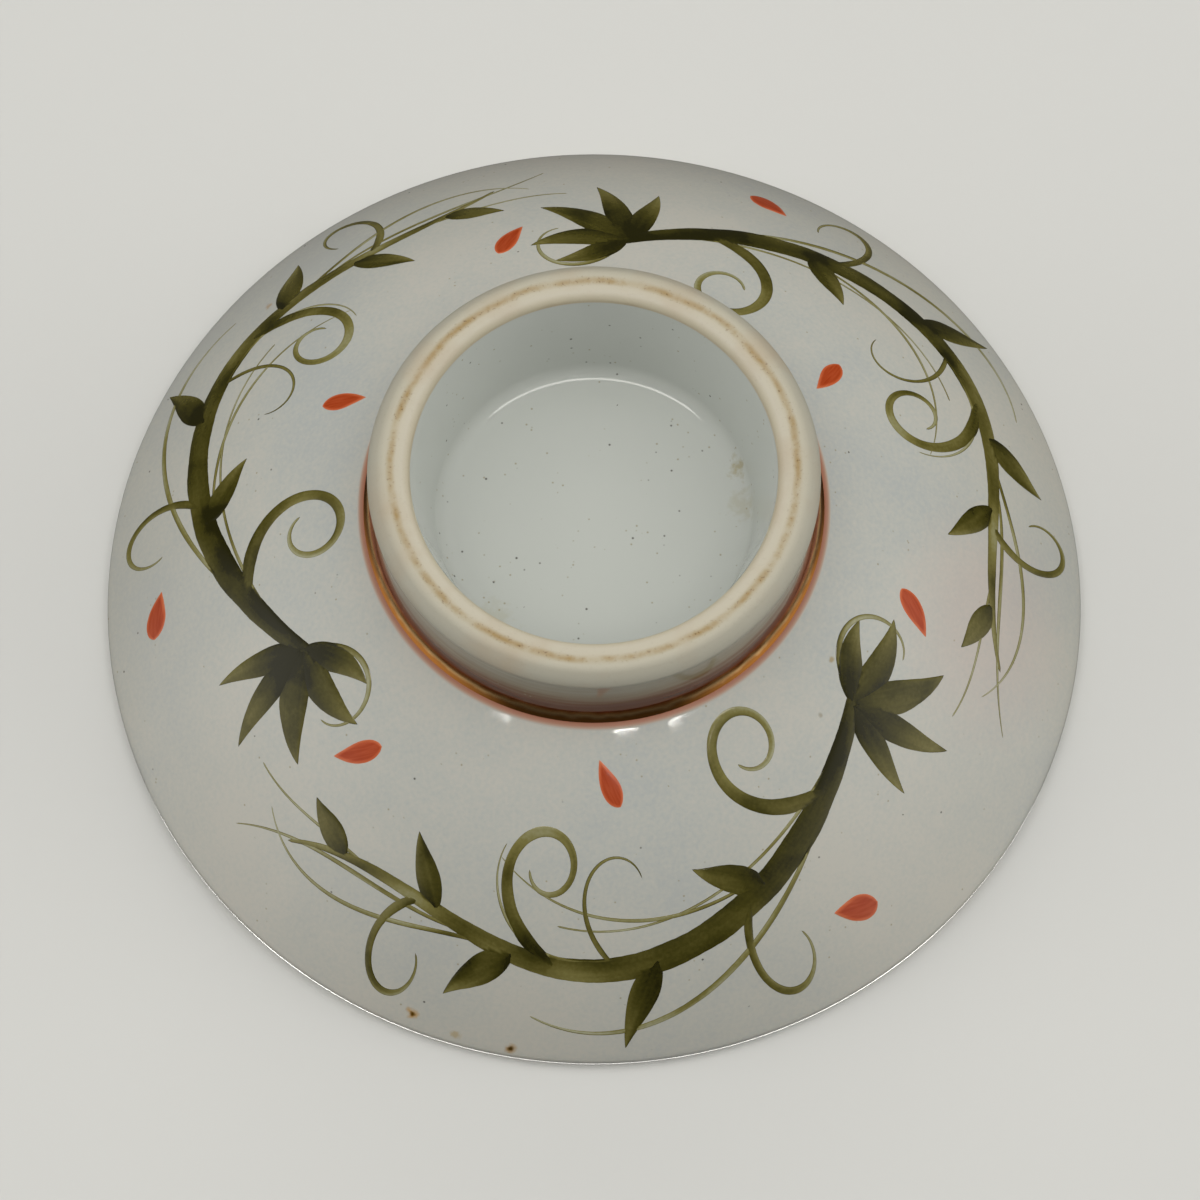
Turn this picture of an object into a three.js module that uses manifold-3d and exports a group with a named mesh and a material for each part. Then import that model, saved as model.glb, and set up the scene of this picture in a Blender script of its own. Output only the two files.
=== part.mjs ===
// A shallow porcelain sake cup on a turned foot ring, glazed inside and out, with a gilt line and
// an iron-red band round the foot and three brushed vine sprays in raised olive enamel.
// Millimetres, +Z up, foot ring standing on z = 0, mouth upwards, axis of the cup on the Z axis.

import * as THREE from 'three';
import { mergeVertices } from 'three/addons/utils/BufferGeometryUtils.js';
import Module from 'manifold-3d';

const wasm = await Module();
wasm.setup();

// Bowl
const cupHeight = 29.7;
const mouthRadius = 40;
const lipThickness = 1.7;
const wallSlopeAtFoot = 31; // degrees from level, where the wall leaves the foot
const wallSlopeAtLip = 57; // degrees from level, at the lip
const floorThickness = 3.4; // clay and glaze between the cup's inside and the foot well
const wallFullness = 0.36; // how long the wall keeps its slope at each end, as a share of its span
const insideFullness = 0.4; // the same for the inside

// Foot ring
const footHeight = 8; // rest face to the crease under the bowl
const neckRadius = 17.3; // the glazed wall's lower edge, above the bare end
const neckHeight = 2.35;
const footSpread = 0.5; // the wall leans out this much on its way up
const flareHeight = 6.6; // the wall starts to turn into the bowl
const creaseFlare = 0.3; // and gains this much more in the turn
const shoulderProud = 0.65; // the bare end stands out this far beyond the neck
const shoulderHeight = 1.45;
const restWidth = 0.8; // the flat ring that touches the table
const restInset = 1.45; // from the shoulder's widest point in to the flat ring

// Foot well, the hollow inside the ring
const wellDepth = 10.2;
const wellMouthRadius = 14.55;
const wellLipHeight = 0.8; // height of the well's rounded mouth edge
const wellFloorRadius = 12.5; // at the foot of its leaning wall
const wellFillet = 1.1;
const wellCrown = 0.3; // the floor bulges this much towards the rest face
const wellMouthRound = 0.15; // the bare end's inner edge is drawn out this much

// Coats
const glazeThickness = 0.25;
const giltThickness = 0.04;
const giltFrom = 6.9; // height of its lower edge on the foot's wall
const bandThickness = 0.06;
const bandWidth = 0.55; // radial
const bandGap = 0.08; // bare glaze between the gilt line and the band
const enamelThickness = 0.12;
const paintGap = 0.3; // bare glaze kept between the band and the painting

// Fineness
const sides = 48;

const baseRadius = neckRadius + footSpread;
const creaseRadius = baseRadius + creaseFlare; // where the foot's wall meets the bowl
const shoulderRadius = neckRadius + shoulderProud;
const restOuterRadius = shoulderRadius - restInset;
const restInnerRadius = restOuterRadius - restWidth;

const degrees = Math.PI / 180;
const point = (x, y) => new THREE.Vector2(x, y);

// The points of a curve, without its first one where a run of points already ends there.
const trace = (curve, steps, skipFirst = true) => curve.getPoints(steps).slice(skipFirst ? 1 : 0);

// Moves an open run of profile points sideways: positive is to the left of its direction.
function shifted(points, distance) {
  return points.map((here, i) => {
    const before = points[Math.max(i - 1, 0)];
    const after = points[Math.min(i + 1, points.length - 1)];
    const a = here.clone().sub(before).normalize();
    const b = after.clone().sub(here).normalize();
    const along = a.clone().add(b).normalize();
    const half = Math.max(along.dot(a.lengthSq() ? a : b), 0.5);
    const moved = point(-along.y, along.x).multiplyScalar(distance / half).add(here);
    if (here.x === 0) moved.x = 0;
    return moved;
  });
}

// Where the line from p along a meets the line from q along b.
function crossing(p, a, q, b) {
  const gap = q.clone().sub(p);
  return a.clone().multiplyScalar(gap.cross(b) / a.cross(b)).add(p);
}

// The part of a run of points between two distances along it.
function stretch(points, from, to) {
  const run = [];
  let gone = 0;
  for (let i = 1; i < points.length; i++) {
    const [a, b] = [points[i - 1], points[i]];
    const length = a.distanceTo(b);
    const start = Math.max((from - gone) / length, 0);
    const end = Math.min((to - gone) / length, 1);
    if (start < end) {
      if (!run.length) run.push(a.clone().lerp(b, start));
      run.push(a.clone().lerp(b, end));
    }
    gone += length;
  }
  return run;
}

// The distance along a run of points at which a measure of its points first reaches a value.
function distanceTo(points, measure, value) {
  let gone = 0;
  for (let i = 1; i < points.length; i++) {
    const [a, b] = [points[i - 1], points[i]];
    const share = (value - measure(a)) / (measure(b) - measure(a));
    if (share >= 0 && share <= 1) return gone + share * a.distanceTo(b);
    gone += a.distanceTo(b);
  }
  return gone;
}

// A solid of revolution about Z from a profile of (radius, height) points that closes on itself or
// starts and ends on the axis. Its points run so that the faces point outwards.
function turned(profile) {
  const closed = profile[0].x > 0;
  const points = closed ? [...profile, profile[0]] : profile;
  let area = 0;
  points.forEach((p, i) => {
    const q = points[(i + 1) % points.length];
    area += p.x * q.y - q.x * p.y;
  });
  if (area < 0) points.reverse();
  const geometry = new THREE.LatheGeometry(points, sides);
  geometry.rotateX(Math.PI / 2);
  return cleaned(geometry);
}

// Shared vertices merged and triangles of no area dropped, with position alone left.
function cleaned(geometry) {
  const bare = geometry.index ? geometry.toNonIndexed() : geometry;
  for (const name of Object.keys(bare.attributes)) {
    if (name !== 'position') bare.deleteAttribute(name);
  }
  const merged = mergeVertices(bare, 1e-5);
  const index = merged.index.array;
  const kept = [];
  for (let i = 0; i < index.length; i += 3) {
    const [a, b, c] = [index[i], index[i + 1], index[i + 2]];
    if (a !== b && b !== c && c !== a) kept.push(a, b, c);
  }
  merged.setIndex(kept);
  return merged;
}

function toSolid(geometry) {
  return new wasm.Manifold(new wasm.Mesh({
    numProp: 3,
    vertProperties: Float32Array.from(geometry.attributes.position.array),
    triVerts: Uint32Array.from(geometry.index.array),
  }));
}

function fromSolid(solid) {
  const mesh = solid.getMesh();
  const geometry = new THREE.BufferGeometry();
  geometry.setAttribute('position', new THREE.BufferAttribute(mesh.vertProperties, 3));
  geometry.setIndex(new THREE.BufferAttribute(mesh.triVerts, 1));
  return geometry;
}

// The visible skin of the cup, from the glaze's edge on the foot, up the foot's wall, out along the
// bowl's underside, over the lip and down the inside to the axis.
const lipRadius = lipThickness / 2;
const wallStart = point(creaseRadius, footHeight);
const lipLean = point(Math.cos(wallSlopeAtLip * degrees), Math.sin(wallSlopeAtLip * degrees));
const footLean = point(Math.cos(wallSlopeAtFoot * degrees), Math.sin(wallSlopeAtFoot * degrees));
const lipCentre = point(mouthRadius - lipRadius, cupHeight - lipRadius);
const wallEnd = lipCentre.clone().add(point(lipLean.y, -lipLean.x).multiplyScalar(lipRadius));
const insideStart = lipCentre.clone().add(point(-lipLean.y, lipLean.x).multiplyScalar(lipRadius));
const insideEnd = point(0, wellDepth - wellCrown + floorThickness);
const reach = wallStart.distanceTo(wallEnd) * wallFullness;
const insideReach = insideStart.distanceTo(insideEnd) * insideFullness;

const neck = point(neckRadius, neckHeight);
const flareStart = point(baseRadius, flareHeight);
const flareCorner = crossing(neck, flareStart.clone().sub(neck), wallStart, footLean);
const footWall = [
  neck,
  ...trace(new THREE.QuadraticBezierCurve(flareStart, flareCorner, wallStart), 4, false),
];
const bowlWall = [
  wallStart,
  ...trace(new THREE.CubicBezierCurve(
    wallStart,
    footLean.clone().multiplyScalar(reach).add(wallStart),
    lipLean.clone().multiplyScalar(-reach).add(wallEnd),
    wallEnd,
  ), 9),
];
const lipTurn = trace(new THREE.EllipseCurve(
  lipCentre.x, lipCentre.y, lipRadius, lipRadius,
  wallSlopeAtLip * degrees - Math.PI / 2, wallSlopeAtLip * degrees + Math.PI / 2,
), 5);
const inside = trace(new THREE.CubicBezierCurve(
  insideStart,
  lipLean.clone().multiplyScalar(-insideReach).add(insideStart),
  point(insideReach, insideEnd.y),
  insideEnd,
), 9);
const bowlSkin = [...bowlWall, ...lipTurn, ...inside];
const cupSkin = [...footWall, ...bowlSkin.slice(1)];

// The visible skin of the foot well, from the axis out along its floor and down its wall.
const wellMouth = point(wellMouthRadius, wellLipHeight);
const wellCorner = point(wellFloorRadius, wellDepth);
const wellLean = wellMouth.clone().sub(wellCorner).normalize();
const floorStart = point(wellFloorRadius - wellFillet, wellDepth);
const wellWallTop = wellLean.clone().multiplyScalar(wellFillet).add(wellCorner);
const wellFloor = [
  ...trace(new THREE.QuadraticBezierCurve(
    point(0, wellDepth - wellCrown), point(floorStart.x / 2, wellDepth - wellCrown), floorStart,
  ), 2, false),
  ...trace(new THREE.QuadraticBezierCurve(floorStart, wellCorner, wellWallTop), 3),
];
const wellSkin = [...wellFloor, wellMouth];

// The clay under the glaze lies one coat deeper than each skin.
const cupClay = shifted(cupSkin, glazeThickness);
const wellClay = shifted(wellSkin, glazeThickness);
const creaseAt = footWall.length - 1;
const footWallClay = cupClay.slice(0, creaseAt + 1);
const bowlClay = cupClay.slice(creaseAt);
const wellFloorClay = wellClay.slice(0, wellFloor.length);
const wellMouthClay = wellClay[wellClay.length - 1];

// The bare end of the foot, from the well's mouth round the rest face to the glazed wall.
const bareEnd = [
  wellMouth,
  ...trace(new THREE.QuadraticBezierCurve(
    wellMouth, point(wellMouthRadius + wellMouthRound, 0), point(restInnerRadius, 0),
  ), 3),
  ...trace(new THREE.QuadraticBezierCurve(
    point(restOuterRadius, 0), point(shoulderRadius, 0), point(shoulderRadius, shoulderHeight),
  ), 4, false),
  ...trace(new THREE.QuadraticBezierCurve(
    point(shoulderRadius, shoulderHeight), point(shoulderRadius, neckHeight), neck,
  ), 3),
];

const bowlProfile = [...bowlClay, ...wellFloorClay];
const footProfile = [
  ...bareEnd,
  ...footWallClay,
  wellFloorClay[wellFloorClay.length - 1],
  wellMouthClay,
];
const cupGlazeProfile = [...cupSkin, ...[...cupClay].reverse()];
const wellGlazeProfile = [...wellSkin, ...[...wellClay].reverse()];

// A thin coat on the outside of a run of skin points.
const coat = (points, thickness) => [...points, ...shifted(points, -thickness).reverse()];
const giltStart = distanceTo(footWall, (p) => p.y, giltFrom);
const giltRun = stretch(footWall, giltStart, Infinity);
const bandEnd = distanceTo(bowlWall, (p) => p.x, creaseRadius + bandWidth);
const bandRun = stretch(bowlWall, bandGap, bandEnd);

// Brush strokes, drawn in plan. A run is a line whose bend changes evenly from its start to its
// end, in degrees per millimetre, which is how a brush draws a tendril.
function brushRun(start, heading, length, bends, steps) {
  const points = [{ x: start.x, y: start.y, heading }];
  const stride = length / steps;
  let { x, y } = start;
  for (let i = 0; i < steps; i++) {
    const turn = (bends[0] + (bends[1] - bends[0]) * (i + 0.5) / steps) * stride;
    heading += turn / 2;
    x += stride * Math.cos(heading * degrees);
    y += stride * Math.sin(heading * degrees);
    heading += turn / 2;
    points.push({ x, y, heading });
  }
  return points;
}

// How wide the brush presses at a share of the stroke, from 0 to 1.
const pressure = {
  stem: (t) => Math.min(1, 0.4 + 3 * t) * (1 - t ** 1.6) ** 0.9 + 0.12,
  curl: (t) => Math.min(1, 0.55 + 3 * t) * (1 - t) ** 0.7 + 0.16,
  hair: (t) => 1 - 0.6 * t,
  line: (t) => 0.25 + 0.75 * Math.max(Math.sin(Math.PI * t ** 0.8), 0),
  leaf: (t) => Math.max(Math.sin(Math.PI * t ** 0.7), 0) ** 0.85 + 0.05,
};

function strokeOutline(points, width, kind) {
  const last = points.length - 1;
  const edge = (side) => points.map(({ x, y, heading }, i) => {
    const half = side * width * pressure[kind](i / last) / 2;
    const across = (heading + 90) * degrees;
    return point(x + half * Math.cos(across), y + half * Math.sin(across));
  });
  return [...edge(1), ...edge(-1).reverse()];
}

// The skin of enamel that every stroke is cut from: the bowl's wall between foot and lip.
const paintRun = stretch(bowlWall, bandEnd + paintGap, Infinity);
const paintLayer = toSolid(turned(coat(paintRun, enamelThickness)));

function painted(outlines) {
  const columns = outlines.map((outline) => {
    const column = new THREE.ExtrudeGeometry(new THREE.Shape(outline), {
      depth: cupHeight,
      bevelEnabled: false,
    });
    return toSolid(cleaned(column));
  });
  const all = columns.reduce((sum, column) => sum.add(column));
  return fromSolid(all.intersect(paintLayer));
}

// The painting is drawn on a flat sheet, in millimetres, with the foot's crease and the mouth as two
// circles, and laid on the wall by the share of the way between them.
const sheet = { crease: 18.1, mouth: 40 };

function laid(outline) {
  return outline.map((p) => {
    const drawn = p.length();
    const share = (drawn - sheet.crease) / (sheet.mouth - sheet.crease);
    return p.clone().multiplyScalar((creaseRadius + share * (mouthRadius - creaseRadius)) / drawn);
  });
}

const spray = {
  count: 3,
  turn: 96, // degrees round the axis to the first one's root
  rootRadius: 25.5,
  heading: 66, // degrees from straight out
  out: { length: 34, bends: [1.7, 3.5] },
  back: { length: 24, bends: [3.5, -3] },
  width: 2.1,
};

// Each branch: share of the stem, side, fan angle, length, bends at start and end, width, kind.
const branches = [
  [0, -1, 152, 8, [2, 7], 2.4, 'leaf'],
  [0, -1, 118, 8.5, [1, 6], 2.6, 'leaf'],
  [0, -1, 82, 8, [0, 6], 2.5, 'leaf'],
  [0, -1, 46, 7, [-1, 5], 2.3, 'leaf'],
  [0, 1, 160, 6.5, [2, 8], 2.2, 'leaf'],
  [0.12, 1, 30, 23, [3, 34], 1.2, 'curl'],
  [0.04, 1, 10, 30, [1.2, 4], 0.35, 'hair'],
  [0.3, -1, 34, 12.5, [8, 34], 0.75, 'curl'],
  [0.58, 1, 22, 21, [3, 37], 1.1, 'curl'],
  [0.5, 1, 40, 12, [6, 30], 0.45, 'curl'],
  [0.8, -1, 32, 12.5, [9, 37], 0.75, 'curl'],
  [0.26, 1, 50, 6, [-4, 8], 2.1, 'leaf'],
  [0.44, -1, 46, 6, [-4, 8], 2.3, 'leaf'],
  [0.66, -1, 40, 6, [-4, 8], 2.2, 'leaf'],
  [0.76, 1, 44, 5.5, [-4, 8], 2, 'leaf'],
  [0.92, 1, 34, 5, [-4, 8], 1.8, 'leaf'],
  [0.88, 1, 14, 12, [-2, 5], 0.3, 'hair'],
  [0, 1, 134, 13, [6, 30], 0.5, 'line'],
  [0.09, -1, 6, 34, [-1.2, -4.6], 0.45, 'line'],
  [0.2, 1, 12, 26, [2, 5], 0.3, 'line'],
  [0.42, 1, 16, 20, [-2.5, 16], 0.4, 'line'],
  [0.7, -1, 12, 22, [-3.2, 3], 0.35, 'line'],
  [0.62, 1, 8, 26, [-2.6, 7], 0.35, 'line'],
];

// Each bud: degrees round from the spray's root, distance from the axis, tilt, length, width.
const buds = [
  [15, 36.2, 100, 3.8, 1.8],
  [49, 24.2, 150, 3.6, 1.7],
  [96, 25.2, 40, 3.9, 1.8],
];

function vineStem(turn) {
  const root = point(Math.cos(turn * degrees), Math.sin(turn * degrees)).multiplyScalar(spray.rootRadius);
  const out = brushRun(root, turn + spray.heading, spray.out.length, spray.out.bends, 20);
  const end = out[out.length - 1];
  return [...out, ...brushRun(end, end.heading, spray.back.length, spray.back.bends, 14).slice(1)];
}

function vineStrokes(turn) {
  const stem = vineStem(turn);
  const strokes = [{ run: stem, width: spray.width, kind: 'stem' }];
  for (const [share, side, fan, length, bends, width, kind] of branches) {
    const root = stem[Math.round(share * (stem.length - 1))];
    const steps = kind === 'leaf' ? 8 : Math.ceil(length);
    const run = brushRun(root, root.heading + side * fan, length, bends.map((b) => side * b), steps);
    strokes.push({ run, width, kind });
  }
  return strokes;
}

function budStroke(turn, [round, out, tilt, length, width]) {
  const away = (turn + round) * degrees;
  const place = point(out * Math.cos(away), out * Math.sin(away));
  return { run: brushRun(place, turn + round + tilt, length, [4, 4], 8), width, kind: 'leaf' };
}

const drawn = ({ run, width, kind }) => laid(strokeOutline(run, width, kind));

const group = new THREE.Group();

function addPiece(name, geometry, look) {
  geometry.computeVertexNormals();
  const mesh = new THREE.Mesh(geometry, new THREE.MeshStandardMaterial(look));
  mesh.name = name;
  group.add(mesh);
}

const porcelain = { color: '#d9d3c4', roughness: 0.75, metalness: 0 };
const clearGlaze = { color: '#d6d7d3', roughness: 0.12, metalness: 0 };
const ironRed = { color: '#bb5a48', roughness: 0.35, metalness: 0 };
const gilt = { color: '#c8963f', roughness: 0.25, metalness: 1 };
const oliveEnamel = { color: '#4a4f28', roughness: 0.2, metalness: 0 };
const coralEnamel = { color: '#cf4526', roughness: 0.25, metalness: 0 };

addPiece('bowl', turned(bowlProfile), porcelain);
addPiece('foot_ring', turned(footProfile), porcelain);
addPiece('cup_glaze', turned(cupGlazeProfile), clearGlaze);
addPiece('well_glaze', turned(wellGlazeProfile), clearGlaze);
addPiece('red_band', turned(coat(bandRun, bandThickness)), ironRed);
addPiece('gilt_line', turned(coat(giltRun, giltThickness)), gilt);

for (let i = 0; i < spray.count; i++) {
  const turn = spray.turn + i * 360 / spray.count;
  addPiece(`vine_${i + 1}`, painted(vineStrokes(turn).map(drawn)), oliveEnamel);
  buds.forEach((bud, j) => {
    addPiece(`bud_${i + 1}_${j + 1}`, painted([drawn(budStroke(turn, bud))]), coralEnamel);
  });
}

export default group;
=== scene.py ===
# %% [markdown]
# # A porcelain sake cup, seen from under its foot
# The cup is a shallow thrown bowl on a turned foot ring. It is glazed inside and out, but for the
# end of the foot, and painted over the glaze with olive and coral enamels, an iron-red band and a
# gilt line. The CAD model stands it upright, foot on z = 0, and is loaded here as a frame that
# stays as it is. Every piece made below replaces one CAD node, in the same place and at the same
# size.

# %% Load the frame
import math

import bpy
from mathutils import Matrix, Vector, kdtree, noise


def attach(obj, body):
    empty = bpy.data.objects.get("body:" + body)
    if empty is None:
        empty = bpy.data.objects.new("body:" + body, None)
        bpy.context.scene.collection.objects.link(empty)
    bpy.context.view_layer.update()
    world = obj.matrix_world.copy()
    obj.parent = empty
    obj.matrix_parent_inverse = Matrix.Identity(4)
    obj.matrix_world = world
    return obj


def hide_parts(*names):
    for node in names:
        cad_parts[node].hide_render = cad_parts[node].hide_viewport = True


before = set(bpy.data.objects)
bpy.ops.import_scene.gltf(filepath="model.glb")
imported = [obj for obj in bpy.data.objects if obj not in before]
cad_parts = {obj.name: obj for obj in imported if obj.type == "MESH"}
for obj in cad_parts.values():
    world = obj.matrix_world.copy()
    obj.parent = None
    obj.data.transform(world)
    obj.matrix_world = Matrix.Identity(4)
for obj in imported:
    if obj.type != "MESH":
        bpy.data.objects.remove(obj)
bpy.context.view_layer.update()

# %% [markdown]
# ## The cup's own measures
# Blender works in metres, and a potter in millimetres. The measures are written in millimetres, as
# in the CAD source, and turned to metres only when a point is placed.

# %% Measures in millimetres
MM = 0.001

CUP_HEIGHT = 29.7
MOUTH_RADIUS = 40.0
LIP_THICKNESS = 1.7
SLOPE_AT_FOOT = 31  # degrees from level
SLOPE_AT_LIP = 57
FLOOR_THICKNESS = 3.4
WALL_FULLNESS = 0.36  # how long the wall keeps its slope at each end, as a share of its span
INSIDE_FULLNESS = 0.4

FOOT_HEIGHT = 8.0
CREASE_RADIUS = 18.1  # where the foot meets the bowl
NECK = Vector((17.3, 2.35))  # lower edge of the foot's glaze: radius, height
FLARE_START = Vector((17.8, 6.6))
SHOULDER = Vector((17.95, 1.45))  # widest point of the bare end
REST_OUTER, REST_INNER = 16.5, 15.7  # the flat ring that touches the table

WELL_DEPTH = 10.2
WELL_MOUTH = Vector((14.55, 0.8))
WELL_CORNER = Vector((12.5, 10.2))
WELL_FILLET = 1.3
WELL_CROWN = 0.3

GLAZE = 0.25  # thickness of the glaze coat
GILT_SUNK = 0.03  # how far the gold goes into the glaze
GILT_ON_BOWL = 0.35  # how far it runs out past the crease
GILT_FROM = 6.9  # height on the foot's wall where it starts
BAND = 0.02  # thickness of the iron-red coat
BAND_WIDTH = 0.78  # how far out it runs before it has faded
print("mouth", 2 * MOUTH_RADIUS, "mm across, height", CUP_HEIGHT, "mm")

# %% [markdown]
# ## The cross-section
# A thrown pot is one line turned round an axis. That line is drawn with Bezier curves, because a
# potter's rib leaves long smooth bends with no flats: the foot's wall, the outside of the bowl, the
# rounded lip and the inside. Points are (radius, height) pairs.

# %% Curves for the cross-section
def bezier(pulls, steps):
    """Points of the Bezier curve that the pull points give."""
    curve = []
    for i in range(steps + 1):
        level = list(pulls)
        while len(level) > 1:
            level = [a.lerp(b, i / steps) for a, b in zip(level, level[1:])]
        curve.append(level[0])
    return curve


def direction(degrees):
    return Vector((math.cos(math.radians(degrees)), math.sin(math.radians(degrees))))


def crossing(p, a, q, b):
    """Where the line from p along a meets the line from q along b."""
    return p + a * ((q - p).cross(b) / a.cross(b))


def shifted(points, distance):
    """A run of points moved sideways, to the left of its direction where distance is positive."""
    moved = []
    for i, here in enumerate(points):
        a = (here - points[max(i - 1, 0)]).normalized()
        b = (points[min(i + 1, len(points) - 1)] - here).normalized()
        along = (a + b).normalized()
        half = max(along.dot(a if a.length else b), 0.5)  # no corner moves more than twice as far
        place = here + Vector((-along.y, along.x)) * (distance / half)
        moved.append(Vector((0, place.y)) if here.x == 0 else place)
    return moved


# %% The glazed skin of the cup
foot_lean, lip_lean = direction(SLOPE_AT_FOOT), direction(SLOPE_AT_LIP)
lip_radius = LIP_THICKNESS / 2
lip_side = Vector((lip_lean.y, -lip_lean.x)) * lip_radius
lip_centre = Vector((MOUTH_RADIUS - lip_radius, CUP_HEIGHT - lip_radius))
crease = Vector((CREASE_RADIUS, FOOT_HEIGHT))
wall_end = lip_centre + lip_side
inside_start = lip_centre - lip_side
inside_end = Vector((0, WELL_DEPTH - WELL_CROWN + FLOOR_THICKNESS))
wall_reach = (wall_end - crease).length * WALL_FULLNESS
inside_reach = (inside_start - inside_end).length * INSIDE_FULLNESS

flare_corner = crossing(NECK, FLARE_START - NECK, crease, foot_lean)
foot_wall = bezier([NECK, FLARE_START], 6)[:-1] + bezier([FLARE_START, flare_corner, crease], 10)
bowl_wall = bezier([crease, crease + foot_lean * wall_reach,
                    wall_end - lip_lean * wall_reach, wall_end], 48)
lip_turn = [lip_centre + direction(SLOPE_AT_LIP - 90 + 180 * i / 16) * lip_radius
            for i in range(1, 16)]
inside = bezier([inside_start, inside_start - lip_lean * inside_reach,
                 Vector((inside_reach, inside_end.y)), inside_end], 40)
cup_skin = foot_wall + bowl_wall[1:] + lip_turn + inside
print("points from the foot's neck to the middle of the inside:", len(cup_skin))

# %% The glazed skin of the foot's well
well_lean = (WELL_MOUTH - WELL_CORNER).normalized()
floor_edge = Vector((WELL_CORNER.x - WELL_FILLET, WELL_DEPTH))
floor_middle = Vector((0, WELL_DEPTH - WELL_CROWN))
well_floor = bezier([floor_middle, Vector((floor_edge.x / 2, floor_middle.y)), floor_edge], 16)
well_floor += bezier([floor_edge, WELL_CORNER, WELL_CORNER + well_lean * WELL_FILLET], 12)[1:]
well_wall = bezier([well_floor[-1], WELL_MOUTH], 12)[1:]
well_skin = well_floor + well_wall
print("the well is", WELL_DEPTH, "mm deep and", 2 * WELL_MOUTH.x, "mm across")

# %% The bare end of the foot
bare_end = bezier([WELL_MOUTH, Vector((WELL_MOUTH.x + 0.15, 0)), Vector((REST_INNER, 0))], 12)
bevel = Vector((REST_OUTER + 0.8, 0.42))  # middle of the rounded bevel
bare_end += bezier([Vector((REST_OUTER, 0)), Vector((REST_OUTER + 0.45, 0)), bevel], 10)
bare_end += bezier([bevel, Vector((SHOULDER.x - 0.15, 0.95)), SHOULDER], 10)[1:]
bare_end += bezier([SHOULDER, Vector((SHOULDER.x, NECK.y - 0.35)), NECK], 10)[1:]
print("the bare end is", len(bare_end), "points round")

# %% [markdown]
# ## From a line to a pot
# The line becomes a pot as on the wheel. One vertex is extruded from point to point, and the drawn
# section is spun round the Z axis. A full turn leaves its first and last section on each other, and
# a ring of vertices on the axis, so doubles are merged before the normals are turned outwards. This
# is simpler than a Screw modifier, because the section is closed and the poles close by themselves.

# %% A wheel for closed sections
SIDES = 192
MERGE_UNDER = 0.002 * MM
SMOOTH_UNDER = math.radians(40)  # edges that bend more stay sharp


def turn_on_wheel(name, section):
    """Spin a section of (radius, height) points, closed or with both its ends on the axis."""
    bpy.ops.object.select_all(action="DESELECT")
    bpy.ops.mesh.primitive_plane_add(size=MM)
    piece = bpy.context.object
    piece.name = piece.data.name = name
    bpy.ops.object.mode_set(mode="EDIT")
    bpy.ops.mesh.merge(type="CENTER")
    bpy.ops.transform.translate(value=(section[0].x * MM, 0, section[0].y * MM))
    for here, there in zip(section, section[1:]):
        step = (there - here) * MM
        bpy.ops.mesh.extrude_region_move(TRANSFORM_OT_translate={"value": (step.x, 0, step.y)})
    bpy.ops.mesh.select_all(action="SELECT")
    bpy.ops.mesh.spin(steps=SIDES, angle=2 * math.pi, center=(0, 0, 0), axis=(0, 0, 1))
    bpy.ops.mesh.select_all(action="SELECT")
    bpy.ops.mesh.remove_doubles(threshold=MERGE_UNDER)
    bpy.ops.mesh.normals_make_consistent(inside=False)
    bpy.ops.object.mode_set(mode="OBJECT")
    bpy.ops.object.shade_smooth_by_angle(angle=SMOOTH_UNDER)
    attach(piece, "root")
    print(name, len(piece.data.polygons), "faces")
    return piece


# %% [markdown]
# ## Clay and glaze
# Under the glaze is the clay: the bowl, and the foot ring turned from the same lump once it was
# leather hard. The glaze is a quarter of a millimetre thick, so the clay's section is the skin
# shifted inwards by that much, and each glaze coat is the space between the two.

# %% Clay bowl and foot ring
cup_clay = shifted(cup_skin, GLAZE)
well_clay = shifted(well_skin, GLAZE)
crease_at = len(foot_wall) - 1
floor_clay = well_clay[:len(well_floor)]

bowl = turn_on_wheel("thrown_bowl", floor_clay + cup_clay[crease_at:])
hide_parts("bowl")

foot_section = bare_end + cup_clay[:crease_at + 1]
foot_section += [floor_clay[-1]] + well_clay[:len(well_floor) - 1:-1]
foot_ring = turn_on_wheel("turned_foot_ring", foot_section + foot_section[:1])
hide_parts("foot_ring")

# %% Glaze coats
cup_glaze = turn_on_wheel("bowl_glaze_coat", cup_skin[::-1] + cup_clay)
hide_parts("cup_glaze")

well_glaze = turn_on_wheel("well_glaze_coat", well_skin + well_clay[::-1])
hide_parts("well_glaze")

# %% [markdown]
# ## Band and line
# The decorator turned the cup on a banding wheel and held a loaded brush to it: first iron red on
# the bowl, close to the crease, then liquid gold in the crease itself. The red coat's edges are
# drawn down to nothing, because a banding brush leaves no step. The gold fills the corner with a
# small hollow curve, so that some of it always faces the light.

# %% Red band
BAND_FLATNESS = 6  # the higher, the flatter the middle and the steeper the edges
BAND_FADE = 0.08  # how far the coat goes on once its colour has faded

out_from_crease = bezier([bowl_wall[0], bowl_wall[3]], 30)
band_run = [p for p in out_from_crease if p.x <= CREASE_RADIUS + BAND_WIDTH + BAND_FADE]
band_end = len(band_run) - 1
band_top = [skin.lerp(raised, 1 - abs(2 * i / band_end - 1) ** BAND_FLATNESS)
            for i, (skin, raised) in enumerate(zip(band_run, shifted(band_run, -BAND)))]
band_section = band_top + shifted(band_run, BAND)[::-1]
red_band = turn_on_wheel("iron_red_band", band_section + band_section[:1])
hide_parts("red_band")

# %% Gold line
GILT_PULL = Vector((CREASE_RADIUS - 0.05, FOOT_HEIGHT - 0.25))  # draws its face into the corner

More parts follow.
